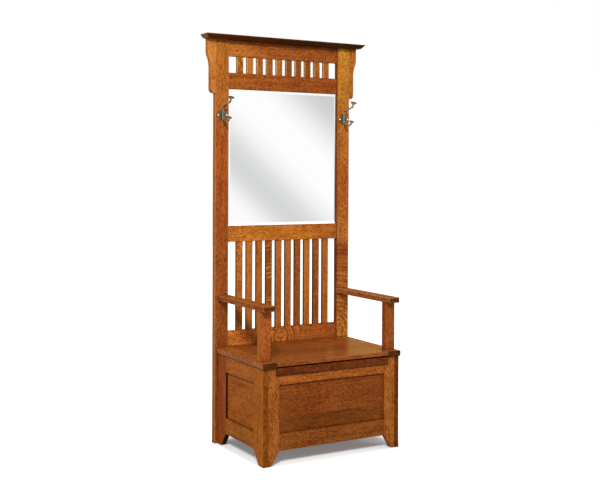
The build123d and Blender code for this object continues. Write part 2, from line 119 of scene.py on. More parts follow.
def board_marks(tree, place, boards):
    """Which of the boards laid side by side a place is on, and the three marks of that board."""
    start, width, marks = boards
    count = len(marks)
    number = add_node(tree, "MapRange", inputs={
        "Value": place, "From Min": start, "From Max": start + count * width, "To Max": count,
    })
    share = add_node(tree, "Math", {"operation": "DIVIDE"}, {0: number, 1: count})
    stops = [(k / count, (*mark, 1.0)) for k, mark in enumerate(marks)]
    picked = add_node(tree, "ValToRGB", inputs={0: share}, stops=stops)
    picked.color_ramp.interpolation = "CONSTANT"
    picked = add_node(tree, "SeparateColor", inputs={0: picked})
    whole = add_node(tree, "Math", {"operation": "FLOOR"}, {0: number})
    return whole, picked.outputs[:3]


def curled_fleck(tree, grain, swirl, shift, shades):
    """Coats for fleck that curls round a point in broken arcs, as it does beside a knot."""
    middle_along, middle_across, reach, strength, curl_mm = swirl
    arc_stretch, waviness = 1.3, 0.35
    centred = add_node(tree, "Mapping", inputs={
        "Vector": grain, "Location": (-middle_along, -middle_across, 0.0), "Scale": (1.0, 1.0, 0.0),
    })
    sides = add_node(tree, "SeparateXYZ", inputs={0: centred})
    away = add_node(tree, "VectorMath", {"operation": "LENGTH"}, {0: centred}).outputs["Value"]
    angle = add_node(tree, "Math", {"operation": "ARCTAN2"}, {
        0: sides.outputs["X"], 1: sides.outputs["Y"],
    })
    round_it = add_node(tree, "CombineXYZ", inputs={0: angle, 1: away})
    round_it = add_node(tree, "Mapping", inputs={
        "Vector": round_it, "Scale": (arc_stretch, 1 / (curl_mm * MM), 1.0),
        "Location": (shift, 0.0, 0.0),
    })
    arcs = add_node(tree, "TexNoise", inputs={
        "Vector": round_it, "Scale": 1.0, "Detail": 1.0, "Distortion": waviness,
    })
    near = add_node(tree, "MapRange", inputs={
        "Value": away, "From Min": reach, "From Max": reach / 2, "To Max": strength,
    })
    coats = []
    for start, full, shade in ((0.46, 0.38, "deep"), (0.52, 0.60, "golden")):
        ridges = add_node(tree, "MapRange", inputs={
            "Value": arcs, "From Min": start, "From Max": full, "To Max": near,
        })
        coats.append((ridges, shades[shade]))
    return coats


def quartersawn_oak(name, along, face, stain, fleck=0.5, fleck_mm=(34, 8), lean=0.0, shift=0.0,
                    speck_mm=(15, 5), mottle=1.0, boards=None, swirl=None, edge=0.0,
                    edge_stain_and_painted_light="#2e1405", end="#3c2108", arris=("#3a1a08", 0.35), top=None,
                    roughness=0.5, polish=0.04):
    """Oak whose grain runs along one axis and whose show face looks along another.

    Quartersawn faces have straight streaks along the grain, small open pores, and paler ray
    flecks that cross them. Edges lack the flecks, end grain takes more stain, and the corners
    are darkened, partly by glaze that stays there and partly by painted shade. The lacquer is
    rubbed thin, so its gloss is faint.
    fleck is the share of fleck, and fleck_mm and lean are its size and its slant in degrees.
    shift cuts the board from another place in the log. speck_mm is the size of the mottling,
    which mottle makes stronger.
    boards is (start, width, marks), for boards laid side by side across the grain, with a tone,
    a share of fleck and a share of cross bars for each. swirl is (along, across, reach, share,
    pitch in mm), for fleck that curls round a point.
    edge is how far the narrow edges turn to the edge colour: a stain on some boards, and on
    others a painted light or painted shade. end is the colour of the end grain.
    arris is the colour and share of the line along each arris: dark with glaze at a joint, and
    pale where the stain is rubbed thin, a pale line that is partly a painted highlight. top is
    the colour of a face that looks up, where it differs, and polish is the strength of the gloss.
    """
    material, tree = new_tree(name)
    across = next(axis for axis in "xyz" if axis not in (along, face))
    order = ["xyz".index(axis) for axis in (along, across, face)]
    where = add_node(tree, "TexCoord")
    place = add_node(tree, "SeparateXYZ", inputs={0: where.outputs["Object"]})
    grain = add_node(tree, "CombineXYZ", inputs={i: place.outputs[k] for i, k in enumerate(order)})
    facing = add_node(tree, "VectorMath", {"operation": "ABSOLUTE"}, {0: where.outputs["Normal"]})
    facing = add_node(tree, "SeparateXYZ", inputs={0: facing})
    shades = stain_shades(tree, place.outputs[order[0]], stain)

    # Where each place was in the log. Boards laid side by side were cut far apart.
    tone, in_log, next_board = 0.0, grain, (1.73, 0.61, 0.0)
    if boards:
        number, (tone, fleck, bars) = board_marks(tree, place.outputs[order[1]], boards)
        in_log = add_node(tree, "VectorMath", {"operation": "MULTIPLY_ADD"}, {
            0: number, 1: next_board, 2: grain,
        })
    in_log = add_node(tree, "VectorMath", {"operation": "ADD"}, {
        0: in_log, 1: (shift, 1.7 * shift, 0.6),
    })

    def figure(size_mm, detail, distortion=0.0, turned=0.0):
        """Noise drawn out to a real size along the grain, across it and into the board."""
        spun = add_node(tree, "Mapping", inputs={
            "Vector": in_log, "Rotation": (0.0, 0.0, math.radians(turned)),
        })
        sized = add_node(tree, "Mapping", inputs={
            "Vector": spun, "Scale": [1 / (size * MM) for size in size_mm],
        })
        return add_node(tree, "TexNoise", inputs={
            "Vector": sized, "Scale": 1.0, "Detail": detail, "Roughness": 0.6,
            "Distortion": distortion,
        })

    # Real streaks are 1 to 3 mm wide and real pores 0.3 mm. Both are drawn coarser, to show.
    streaks = figure((150, 9, 30), 4.0, 0.3)
    bands = figure((700, 30, 110), 3.0)
    clouds = figure((150, 60, 120), 3.0, 0.5)
    specks = figure((*speck_mm, 9), 1.0, 0.4)
    pores = figure((13, 1.6, 2.5), 1.0)
    rays = figure((*fleck_mm, 16), 2.0, 0.8, lean)
    groups = figure((120, 60, 90), 1.0)

    # How light the wood is at a place. Boards laid side by side keep near the tone of each.
    noise_shares, speck_share = (0.22, 0.16, 0.18), 0.44
    spread = 0.07 / mottle
    low, high = (-0.4, 0.4) if boards else (0.0, 1.0)
    light = add_node(tree, "CombineXYZ", inputs={0: streaks, 1: bands, 2: clouds})
    light = add_node(tree, "VectorMath", {"operation": "DOT_PRODUCT"}, {0: light, 1: noise_shares})
    light = add_node(tree, "Math", {"operation": "MULTIPLY_ADD"}, {
        0: specks, 1: speck_share, 2: light.outputs["Value"],
    })
    light = add_node(tree, "MapRange", inputs={
        "Value": light, "From Min": 0.5 - spread, "From Max": 0.5 + spread,
        "To Min": low, "To Max": high,
    })
    light = add_node(tree, "Math", {"operation": "ADD", "use_clamp": True}, {0: light, 1: tone})
    coats = [(light, shades["pale"])]

    # Flecks lie in groups, on the show face alone, and they take the stain goldest.
    on_face = add_node(tree, "MapRange", inputs={
        "Value": facing.outputs[order[2]], "From Min": 0.5, "From Max": 0.9, "To Max": fleck,
    })
    grouped = add_node(tree, "MapRange", inputs={
        "Value": groups, "From Min": 0.32, "From Max": 0.5, "To Max": on_face,
    })
    flecks = add_node(tree, "MapRange", inputs={
        "Value": rays, "From Min": 0.52, "From Max": 0.64, "To Max": grouped,
    })
    coats.append((flecks, shades["golden"]))
    if boards:
        rungs = add_node(tree, "MapRange", inputs={
            "Value": figure((8, 90, 40), 2.0, 0.4, 6.0), "From Min": 0.55, "From Max": 0.63,
            "To Max": bars,
        })
        coats.append((rungs, shades["golden"]))
    if swirl:
        coats += curled_fleck(tree, grain, swirl, shift, shades)
    open_pores = add_node(tree, "MapRange", inputs={
        "Value": pores, "From Min": 0.56, "From Max": 0.74, "To Max": 0.4,
    })
    coats.append((open_pores, shades["sunk"]))

    # The narrow edges, the end grain, a face that looks up, the corners with their glaze and
    # painted shade, and the arrises.
    # Narrow edges turn to the edge colour, which on some boards is a painted light or shade.
    for axis, share, colour in ((order[1], edge, edge_stain_and_painted_light), (order[0], 0.8, end)):
        turned = add_node(tree, "MapRange", inputs={
            "Value": facing.outputs[axis], "From Min": 0.55, "From Max": 0.75, "To Max": share,
        })
        coats.append((turned, linear(colour)))
    if top:
        upward = add_node(tree, "SeparateXYZ", inputs={0: where.outputs["Normal"]})
        upward = add_node(tree, "MapRange", inputs={
            "Value": upward.outputs["Z"], "From Min": 0.5, "From Max": 0.9, "To Max": 0.8,
        })
        coats.append((upward, linear(top)))
    # Glaze stays in the joints, and with it painted shade: the wood is darkened wherever it lies
    # deep in a corner, as shade would darken it.
    corner = add_node(tree, "AmbientOcclusion", {"samples": 6}, {"Distance": 9 * MM})
    glaze_and_painted_shade = add_node(tree, "MapRange", inputs={
        "Value": corner.outputs["AO"], "From Min": 0.9, "From Max": 0.4, "To Max": 0.7,
    })
    coats.append((glaze_and_painted_shade, linear("#1c0c04")))
    line, line_share = arris
    coats.append((arris_share(tree, 5, 0.99, 0.88, line_share), linear(line)))

    wood = shades["deep"]
    for share, coat in coats:
        wood = add_node(tree, "Mix", {"data_type": "RGBA"}, {0: share, 6: wood, 7: coat}).outputs[2]

    relief = add_node(tree, "Math", {"operation": "SUBTRACT"}, {0: streaks, 1: open_pores})
    bump = add_node(tree, "Bump", inputs={"Strength": 0.3, "Distance": 0.25 * MM, "Height": relief})
    gloss = add_node(tree, "MapRange", inputs={
        "Value": streaks, "From Min": 0.3, "From Max": 0.7, "To Min": roughness + 0.06,
        "To Max": roughness - 0.06,
    })
    shader = add_node(tree, "BsdfPrincipled", inputs={
        "Base Color": wood, "Roughness": gloss, "IOR": 1.5, "Specular IOR Level": polish,
        "Specular Tint": linear("#ffc890"), "Normal": bump,
    })
    add_node(tree, "OutputMaterial", inputs={0: shader})
    return material


def dress(material, *names):
    """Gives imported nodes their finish."""
    for name in names:
        for slot in nodes[name].material_slots:
            slot.material = material


# A pale line along each arris: the stain rubbed thin there, and partly a painted highlight.
rubbed_and_highlit_arris = ("#dca468", 0.5)
# The left post's narrow sides are painted lighter: a painted light, as on sides lit from the left.
dress(
    quartersawn_oak(
        "left_post_oak", "z", "y", [
            (0.4, "#8e4920"), (0.7, "#954f22"), (1.1, "#91461d"), (1.5, "#964a1f"),
            (1.62, "#9a5521"), (1.95, "#9c591f"),
        ],
        fleck=0.3, lean=12, shift=0.4, edge=0.5, edge_stain_and_painted_light="#ae6a2a", arris=rubbed_and_highlit_arris,
    ),
    "left_back_post",
)
dress(
    quartersawn_oak(
        "right_post_oak", "z", "y", [
            (0.4, "#ab6429"), (0.86, "#93491e"), (0.89, "#813b18"), (0.93, "#89421b"),
            (0.97, "#ae6628"), (1.1, "#9d5422"), (1.3, "#984e1d"), (1.95, "#af6f28"),
        ],
        fleck=0.75, fleck_mm=(26, 7), lean=62, shift=2.9, swirl=(0.50, 0.31, 0.54, 0.8, 10),
        edge=0.75, edge_stain_and_painted_light="#4a240c",
    ),
    "right_back_post",
)

# Corbels
# A sawn bracket under each end of the crown, glued to the post's outer edge and flush with it.
# Same oak, with its grain upright.

for side, stain, shift in (("left", "#ae662a", 5.1), ("right", "#a25a22", 6.3)):
    dress(
        quartersawn_oak(
            f"{side}_corbel_oak", "z", "y", stain, fleck=0.2, shift=shift, arris=rubbed_and_highlit_arris,
        ),
        f"{side}_corbel",
    )

# Crown board
# One board let down over the posts' tenons, and bevelled under its front and ends. Its bevels
# look down, and their near-black colour is painted shade; its top keeps a lighter colour.

# The near-black stops are painted shade on the downward bevels; top gives the upper face its
# lighter colour.
dress(
    quartersawn_oak(
        "crown_oak", "x", "z", [(-0.44, "#4c2108"), (0.44, "#341a05")],
        fleck=0.1, shift=1.2, mottle=0.7, end="#a0703a", arris=("#8a5c2e", 0.4), top="#8c4a1e",
    ),
    "crown_board",
)

# Crest
# Two wide rails tenoned into the posts, with ten short slats housed between them.
# Each slat is cut from another board, so their colours differ.

dress(
    quartersawn_oak(
        "crest_upper_oak", "x", "y", [(-0.35, "#a65f24"), (-0.05, "#924b1f"), (0.3, "#86431c")],
        fleck=0.35, lean=6, shift=3.3,
    ),
    "crest_upper_rail",
)
dress(
    quartersawn_oak(
        "crest_lower_oak", "x", "y", [(-0.35, "#924d1d"), (0.3, "#864019")],
        fleck=0.25, lean=5, shift=4.8,
    ),
    "crest_lower_rail",
)
slat_pitch = 54 * MM
slat_start = -5 * slat_pitch
crest_marks = [
    (0.1, 1.0, 0.0), (1.0, 0.6, 0.0), (0.4, 1.0, 0.0), (0.33, 0.2, 0.0), (0.6, 0.4, 0.0),
    (0.0, 0.1, 0.0), (0.0, 0.1, 0.0), (0.0, 0.0, 0.0), (0.5, 0.4, 0.0), (0.33, 0.3, 0.0),
]
# The slats' narrow sides are painted dark, a painted shade for the gaps between them, and the
# near-white line along each arris is a painted highlight.
dress(
    quartersawn_oak(
        "crest_slat_oak", "z", "y", "#9b5720", fleck_mm=(26, 9), lean=18, shift=7.7,
        edge=0.8, arris=("#f4ca98", 1.0), boards=(slat_start, slat_pitch, crest_marks),
    ),
    "crest_slats",
)

# Mid rail
# The rail under the mirror, from a board with lively ray fleck that ripples along the grain.
# It is tenoned into the posts and housed for the slats below it.

dress(
    quartersawn_oak(
        "mid_rail_oak", "x", "y", [(-0.35, "#ae6323"), (0.05, "#ac6121"), (0.3, "#9f5521")],
        fleck=0.7, fleck_mm=(24, 6), lean=-12, shift=9.1,
    ),
    "mid_rail",
)

# Back slats
# Ten long slats housed in the mid rail and the bottom rail, from boards of different colours.
# The first has slanting flecks, and the fourth is crossed by bold bars.

back_marks = [
    (0.42, 1.0, 0.5), (0.85, 0.4, 0.0), (0.53, 0.2, 0.0), (0.0, 0.2, 0.9), (0.6, 0.2, 0.0),
    (0.68, 0.1, 0.0), (0.2, 0.1, 0.0), (0.9, 0.4, 0.0), (0.2, 0.0, 0.0), (0.68, 0.1, 0.0),
]
# The slats' narrow sides are painted dark, a painted shade for the gaps between them.
dress(
    quartersawn_oak(
        "back_slat_oak", "z", "y", "#9f5824", fleck_mm=(32, 10), lean=30, shift=11.3,
        edge=0.9, boards=(slat_start, slat_pitch, back_marks),
    ),
    "back_slats",
)

# Bottom and lower back rails
# Both are tenoned into the posts. The bottom rail backs the seat and shows above it, with a
# patch of curled fleck left of its middle. The lower one closes the box near the floor.

# The stain is lighter at the left end: a painted light that lifts the shadow which the left arm and
# post cast there.
dress(
    quartersawn_oak(
        "bottom_rail_oak", "x", "y", [(-0.3, "#ba682c"), (-0.13, "#a35822"), (0.3, "#984f20")],
        fleck=0.4, fleck_mm=(20, 9), lean=35, shift=12.9, swirl=(-0.032, 0.485, 0.18, 0.9, 9),
    ),
    "bottom_back_rail",
)
dress(quartersawn_oak("lower_rail_oak", "x", "y", "#8f4c20", shift=14.0), "lower_back_rail")

# Arms and arm posts
# Flat arms tenoned into the back posts, each on a short post that stands on the seat strip.
# Hands keep the arms a little glossier than the boards around them.

for side, stain, shift in (("left", "#8f470e", 15.2), ("right", "#8e4d22", 16.4)):
    dress(
        quartersawn_oak(
            f"{side}_arm_oak", "y", "z", stain, fleck=0.3, shift=shift, arris=rubbed_and_highlit_arris,
            polish=0.07,
        ),
        f"{side}_arm",
    )
# The left arm post's narrow sides are painted lighter too, a painted light.
dress(
    quartersawn_oak(
        "left_arm_post_oak", "z", "y", "#974d1f", fleck=0.4, fleck_mm=(16, 8), shift=17.5,
        edge=0.6, edge_stain_and_painted_light="#b3651d",
    ),
    "left_arm_post",
)
dress(
    quartersawn_oak(
        "right_arm_post_oak", "z", "y", "#914a1e", fleck=0.3, fleck_mm=(20, 9), shift=18.6,
    ),
    "right_arm_post",
)

# Seat
# Side strips run front to back with their end grain showing, and the rear strip lies between them.
# The lid is glued up from boards that run from side to side. Use has polished it and the rear
# strip, so they shine most.

seat_roughness = 0.32
seat_polish = 0.12
for side, stain, shift in (("left", "#995623", 19.7), ("right", "#945424", 20.8)):
    dress(
        quartersawn_oak(
            f"{side}_strip_oak", "y", "z", stain, fleck=0.2, shift=shift, end="#221102",
            roughness=seat_roughness,
        ),
        f"{side}_seat_strip",
    )
dress(
    quartersawn_oak(
        "rear_strip_oak", "x", "z", "#84421a", fleck=0.2, shift=21.9,
        roughness=seat_roughness, polish=seat_polish,
    ),
    "rear_seat_strip",
)
lid_low, lid_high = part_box("lid_board")
lid_marks = [(0.5, 0.2, 0.0), (0.25, 0.1, 0.0), (0.55, 0.2, 0.0)]
lid_board_width = (lid_high[1] - lid_low[1]) / len(lid_marks)
# The pale line along the lid's arrises is partly rubbed stain and partly a painted highlight.
dress(
    quartersawn_oak(
        "lid_oak", "x", "z", "#88451b", fleck_mm=(30, 7), shift=23.1, arris=("#b8783a", 0.5),
        roughness=seat_roughness, polish=seat_polish,
        boards=(lid_low[1], lid_board_width, lid_marks),
    ),
    "lid_board",
)
dress(quartersawn_oak("batten_oak", "y", "z", "#8a5026", fleck=0.1, shift=24.3), "lid_battens")
dress(
    quartersawn_oak("cleat_oak", "x", "z", "#8a5228", fleck=0.1, shift=25.5),
    "rear_seat_cleat", "floor_cleats",
)

# Box sides
# Stiles and rails joined by tenons, round a flat panel in grooves, all calmer in figure than the
# box front. The rear stiles' narrow edges, with the slant of their feet, are painted nearly
# black: a painted shade for faces that look down and away from the light.

side_boards = {
    "front_stile": ("z", "#a4591b", 0.3), "rear_stile": ("z", "#904418", 0.2),
    "top_rail": ("y", "#9d5316", 0.6), "bottom_rail": ("y", "#9d591d", 0.4),
    "panel": ("y", "#9e5419", 0.3),
}
for number, (side, side_edge) in enumerate((("left", 0.45), ("right", 0.65))):
    for step, (part, (along, stain, fleck)) in enumerate(side_boards.items()):
        # The rear stiles' edges take a near-black painted shade.
        edge, edge_stain_and_painted_light = (0.95, "#140a05") if part == "rear_stile" else (side_edge, "#2e1405")
        dress(
            quartersawn_oak(
                f"{side}_side_{part}_oak", along, "x", stain, fleck=fleck, fleck_mm=(18, 7),
                lean=14, speck_mm=(13, 5), mottle=0.75, edge=edge, edge_stain_and_painted_light=edge_stain_and_painted_light,
                shift=27.1 + 6.3 * number + 1.1 * step,
            ),
            f"{side}_side_{part}",
        )

# Box front
# Set between the sides: stiles with slanted feet, flecked rails and a flat panel of two boards,
# of which the lower one is darker. A darker grip strip is planted along the top, under the lid.

dress(
    quartersawn_oak(
        "left_front_stile_oak", "z", "y", "#965120", fleck=0.6, fleck_mm=(20, 7), lean=10,
        shift=41.0,
    ),
    "left_front_stile",
)
dress(
    quartersawn_oak(
        "right_front_stile_oak", "z", "y", "#965220", fleck=0.8, fleck_mm=(30, 8), lean=24,
        shift=42.2,
    ),
    "right_front_stile",
)
dress(
    quartersawn_oak(
        "front_top_rail_oak", "x", "y", "#98511f", fleck=0.9, fleck_mm=(12, 6), lean=12,
        shift=43.4, speck_mm=(8, 6),
    ),
    "front_top_rail",
)
dress(
    quartersawn_oak(
        "front_bottom_rail_oak", "x", "y", "#7f431a", fleck=0.6, fleck_mm=(14, 6), lean=9,
        shift=44.6, speck_mm=(9, 6),
    ),
    "front_bottom_rail",
)
dress(
    quartersawn_oak(
        "upper_panel_oak", "x", "y", "#7e3f19", fleck=0.25, fleck_mm=(16, 6), shift=45.8,
        speck_mm=(14, 5), mottle=0.9,
    ),
    "front_panel_upper_board",
)
dress(
    quartersawn_oak(
        "lower_panel_oak", "x", "y", [
            (-0.28, "#773f19"), (-0.12, "#683511"), (0.12, "#6c3812"), (0.28, "#7b3f18"),
        ],
        fleck=0.15, fleck_mm=(18, 6), shift=47.0, speck_mm=(30, 5), mottle=0.7,
    ),
    "front_panel_lower_board",
)
dress(
    quartersawn_oak(
        "grip_strip_oak", "x", "y", "#653014", fleck=0.15, fleck_mm=(20, 6), shift=48.2,
    ),
    "front_grip_strip",
)

# Box floor and back panel
# Oak-faced plywood that lies on cleats inside the box, and a thin sheet that closes its back.
# Both are stained but not rubbed, so they are duller than the boards. Their veneer has no fleck.

plywood_roughness = 0.6
dress(
    quartersawn_oak(
        "floor_plywood", "x", "z", "#96602e", fleck=0.0, shift=50.1, roughness=plywood_roughness,
    ),
    "box_floor",
)
dress(
    quartersawn_oak(
        "back_panel_plywood", "z", "y", "#965a2a", fleck=0.0, shift=51.3,
        roughness=plywood_roughness,
    ),
    "box_back_panel",
)

# Mirror
# Silvered plate glass with a ground bevel, backed by hardboard and held by oak strips from behind.
# The silver gives a clean, hardly tinted reflection. The hardboard is a dull, mottled brown.


def plain_finish(name, colour, roughness, metallic=0.0, speck=0.12, speck_mm=2.0, rubbed_and_highlit_colour=None):
    """A finish of one colour, with faint mottling and a slight change of gloss.

    The rubbed colour, when given, brightens the edges, where the metal is worn, and the flat
    sides, where it is a painted highlight; the metal is then dark in its corners.
    """
    material, tree = new_tree(name)
    where = add_node(tree, "TexCoord")
    noise = add_node(tree, "TexNoise", inputs={
        "Vector": where.outputs["Object"], "Scale": 1 / (speck_mm * MM), "Detail": 3.0,
    })
    coats = [(noise, linear(colour, (1 + speck,) * 3))]
    if rubbed_and_highlit_colour:
        corner = add_node(tree, "AmbientOcclusion", {"samples": 6}, {"Distance": 16 * MM})
        tarnish = add_node(tree, "MapRange", inputs={
            "Value": corner.outputs["AO"], "From Min": 1.0, "From Max": 0.5, "To Max": 0.9,
        })
        coats.append((tarnish, linear("#24221a")))
        edges = arris_share(tree, 2, 0.98, 0.8, 0.7)
        # The flat sides brighten as well: a painted highlight, not wear.
        surface = add_node(tree, "NewGeometry")
        sides = add_node(tree, "SeparateXYZ", inputs={0: surface.outputs["Normal"]})
        sides = add_node(tree, "Math", {"operation": "ABSOLUTE"}, {0: sides})
        sides = add_node(tree, "MapRange", inputs={
            "Value": sides, "From Min": 0.6, "From Max": 0.95, "To Max": 0.5,
        })
        worn_edges_and_highlit_sides = add_node(tree, "Math", {"operation": "MAXIMUM"}, {0: edges, 1: sides})
        coats.append((worn_edges_and_highlit_sides, linear(rubbed_and_highlit_colour)))
    tone = linear(colour, (1 - speck,) * 3)
    for share, coat in coats:
        tone = add_node(tree, "Mix", {"data_type": "RGBA"}, {0: share, 6: tone, 7: coat}).outputs[2]
    gloss = add_node(tree, "MapRange", inputs={
        "Value": noise, "From Min": 0.3, "From Max": 0.7, "To Min": roughness * 0.85,
        "To Max": roughness * 1.15,
    })
    shader = add_node(tree, "BsdfPrincipled", inputs={
        "Base Color": tone, "Roughness": gloss, "Metallic": metallic,
    })
    add_node(tree, "OutputMaterial", inputs={0: shader})
    return material


dress(
    plain_finish("silvered_plate_glass", "#fefefe", 0.008, metallic=1.0, speck=0.0),
    "mirror_glass",
)
dress(plain_finish("brown_hardboard", "#6e4526", 0.7, speck=0.3), "mirror_backboard")
dress(
    quartersawn_oak("retainer_oak", "z", "y", "#8e5a2c", fleck=0.0, shift=52.7),
    "mirror_retainers",
)

# Lid hinges and bumpers
# Browned steel butt hinges let into both board edges, close to the stain in colour, with turned
# pins and three screws in each leaf. Three larger screws hold each batten under the lid, and two
# dull black rubber bumpers on the front rail take it.

browned_steel = plain_finish("browned_steel", "#9c5e32", 0.5, metallic=1.0)
dress(browned_steel, "hinge_fixed_leaves", "hinge_moving_leaves", "hinge_pins")
dress(plain_finish("bumper_rubber", "#161514", 0.8), "lid_bumpers")


def screw_heads(name, places, outward, radius, rise, material, body):
    """Slotted screw heads, all facing one way: low domes with a sawn slot across each."""
    rings, around = 6, 24
    slot_half, slot_floor = 0.13 * radius, 0.45 * rise
    first_turn, next_turn = 0.7, 1.9
    turned = Vector(outward).to_track_quat("Z", "Y").to_matrix()
    joined = bmesh.new()
    for number, place in enumerate(places):
        # The dome, in rings that close on a point over a flat base.
        head = bmesh.new()
        loops = []
        for ring in range(rings):
            lean = math.pi / 2 * ring / rings
            loops.append([
                head.verts.new((
                    radius * math.cos(lean) * math.cos(2 * math.pi * k / around),
                    radius * math.cos(lean) * math.sin(2 * math.pi * k / around),
                    rise * math.sin(lean),
                )) for k in range(around)
            ])
        top = head.verts.new((0, 0, rise))
        head.faces.new(list(reversed(loops[0])))
        for lower, upper in zip(loops, loops[1:]):
            for k in range(around):
                after = (k + 1) % around
                head.faces.new((lower[k], lower[after], upper[after], upper[k]))
        for k in range(around):
            head.faces.new((loops[-1][k], loops[-1][(k + 1) % around], top))
        # The slot: a strip parted off along both its sides and pushed down.
        for way in (-1, 1):
            bmesh.ops.bisect_plane(
                head, geom=head.verts[:] + head.edges[:] + head.faces[:],
                plane_co=(way * slot_half, 0, 0), plane_no=(way, 0, 0),
            )
        strip = [
            f for f in head.faces
            if abs(f.calc_center_median().x) < slot_half and f.calc_center_median().z > slot_floor
        ]
        sunk = bmesh.ops.extrude_face_region(head, geom=strip)["geom"]
        for vert in sunk:
            if isinstance(vert, bmesh.types.BMVert):
                vert.co.z = min(vert.co.z, slot_floor)
        bmesh.ops.delete(head, geom=[f for f in strip if f.is_valid], context="FACES")
        bmesh.ops.recalc_face_normals(head, faces=head.faces[:])
        # Every screw was driven home to another turn.
        driven = Matrix.Rotation(first_turn + next_turn * number, 3, "Z")
        for vert in head.verts:
            vert.co = Vector(place) + turned @ driven @ vert.co
        part = bpy.data.meshes.new("head")
        head.to_mesh(part)
        head.free()
        joined.from_mesh(part)
        bpy.data.meshes.remove(part)
    mesh = bpy.data.meshes.new(name)
    joined.to_mesh(mesh)
    joined.free()
    mesh.materials.append(material)
    piece = bpy.data.objects.new(name, mesh)
    bpy.context.scene.collection.objects.link(piece)
    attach(piece, body)
    return piece


hinge_length = 64 * MM
hinge_gap = 2 * MM
hinge_screw_pitch = 22 * MM
hinge_screw_rise = 6.5 * MM
hinge_low, hinge_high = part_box("hinge_fixed_leaves")
hinge_x = hinge_high[0] - hinge_length / 2
pin_y = (hinge_low[1] + hinge_high[1]) / 2
hinge_screw_xs = [
    side * hinge_x + step * hinge_screw_pitch for side in (-1, 1) for step in (-1, 0, 1)
]
for name, way, body in (("fixed_hinge_screws", 1, "frame"), ("moving_hinge_screws", -1, "lid")):
    leaf_face_y = pin_y + way * hinge_gap / 2
    screw_heads(
        name, [(x, leaf_face_y, hinge_low[2] + hinge_screw_rise) for x in hinge_screw_xs],
        outward=(0, -way, 0), radius=2.9 * MM, rise=0.4 * MM, material=browned_steel, body=body,
    )
batten_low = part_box("lid_battens")[0]
batten_screw_inset = 34 * MM
batten_screw_pitch = 125 * MM
batten_screw_ys = [
    batten_low[1] + batten_screw_inset + step * batten_screw_pitch for step in range(3)
]
screw_heads(
    "batten_screws",
    [(side * hinge_x, y, batten_low[2]) for side in (-1, 1) for y in batten_screw_ys],
    outward=(0, 0, -1), radius=4 * MM, rise=1.2 * MM, material=browned_steel, body="lid",
)

# Coat hooks
# Cast double hooks in antique pewter, which is dark in its hollows and rubbed brighter on its
# edges where hands and coats touch it; the brighter flat sides are a painted highlight. A
# round-head screw of the same metal goes through either ear, its pale colour a painted
# highlight. The hooks don't show in the mirror beside them.

antique_pewter = plain_finish(
    "antique_pewter", "#5e5f50", 0.34, metallic=1.0, speck=0.5, speck_mm=6.0, rubbed_and_highlit_colour="#cfc8ae",
)
# The screw heads are a pale pewter, a painted highlight on each head.
highlit_pewter = plain_finish("painted_highlight_pewter", "#d6d0bc", 0.3, metallic=1.0)
dress(antique_pewter, "left_coat_hook", "right_coat_hook")
plate_thickness = 4 * MM
plate_rise = 39.5 * MM
ear_spread = 23 * MM
for side in ("left", "right"):
    low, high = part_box(f"{side}_coat_hook")
    middle_x = (low[0] + high[0]) / 2
    ears = [
        (middle_x + ear * ear_spread, high[1] - plate_thickness, low[2] + plate_rise)
        for ear in (-1, 1)
    ]
    hook_screws = screw_heads(
        f"{side}_hook_screws", ears, outward=(0, -1, 0), radius=4.4 * MM, rise=2.6 * MM,
        material=highlit_pewter, body="frame",
    )
    nodes[f"{side}_coat_hook"].visible_glossy = False
    hook_screws.visible_glossy = False

# Studio
# A pale floor under a white surround. A broad lamp stands at the upper left, a weak one at the
# right. The floor glows white to the camera and to gloss, except in a soft hole the shape of the
# seat's footprint: a painted shadow, laid over the seat's real shadow. Near the seat, gloss sees
# the plain matte floor.

floor_reach = 12.0
floor_mesh = bpy.data.meshes.new("studio_floor")
floor_bm = bmesh.new()
bmesh.ops.create_grid(floor_bm, x_segments=1, y_segments=1, size=floor_reach)
floor_bm.to_mesh(floor_mesh)
floor_bm.free()
floor = bpy.data.objects.new("studio_floor", floor_mesh)
bpy.context.scene.collection.objects.link(floor)

shadow_hole_half_size = (0.36, 0.25, 0.0)
gloss_near, white_reach = 0.5, 2.0
floor_paint, tree = new_tree("pale_floor")
matte = add_node(tree, "BsdfDiffuse", inputs={"Color": linear("#c8c8c8")})
white_paint = add_node(tree, "BsdfDiffuse", inputs={"Color": linear("#f6f6f6")})
spot = add_node(tree, "TexCoord")
away = add_node(tree, "VectorMath", {"operation": "ABSOLUTE"}, {0: spot.outputs["Object"]})
away = add_node(tree, "VectorMath", {"operation": "SUBTRACT"}, {0: away, 1: shadow_hole_half_size})
away = add_node(tree, "VectorMath", {"operation": "MAXIMUM"}, {0: away, 1: (0.0, 0.0, 0.0)})
away = add_node(tree, "VectorMath", {"operation": "LENGTH"}, {0: away}).outputs["Value"]
far = add_node(tree, "MapRange", inputs={
    "Value": away, "From Min": gloss_near, "From Max": white_reach,
})
path = add_node(tree, "LightPath")
seen = add_node(tree, "Math", {"operation": "MULTIPLY"}, {0: path.outputs["Is Glossy Ray"], 1: far})
for ray in ("Is Camera Ray", "Is Transmission Ray"):
    seen = add_node(tree, "Math", {"operation": "MAXIMUM"}, {0: seen, 1: path.outputs[ray]})
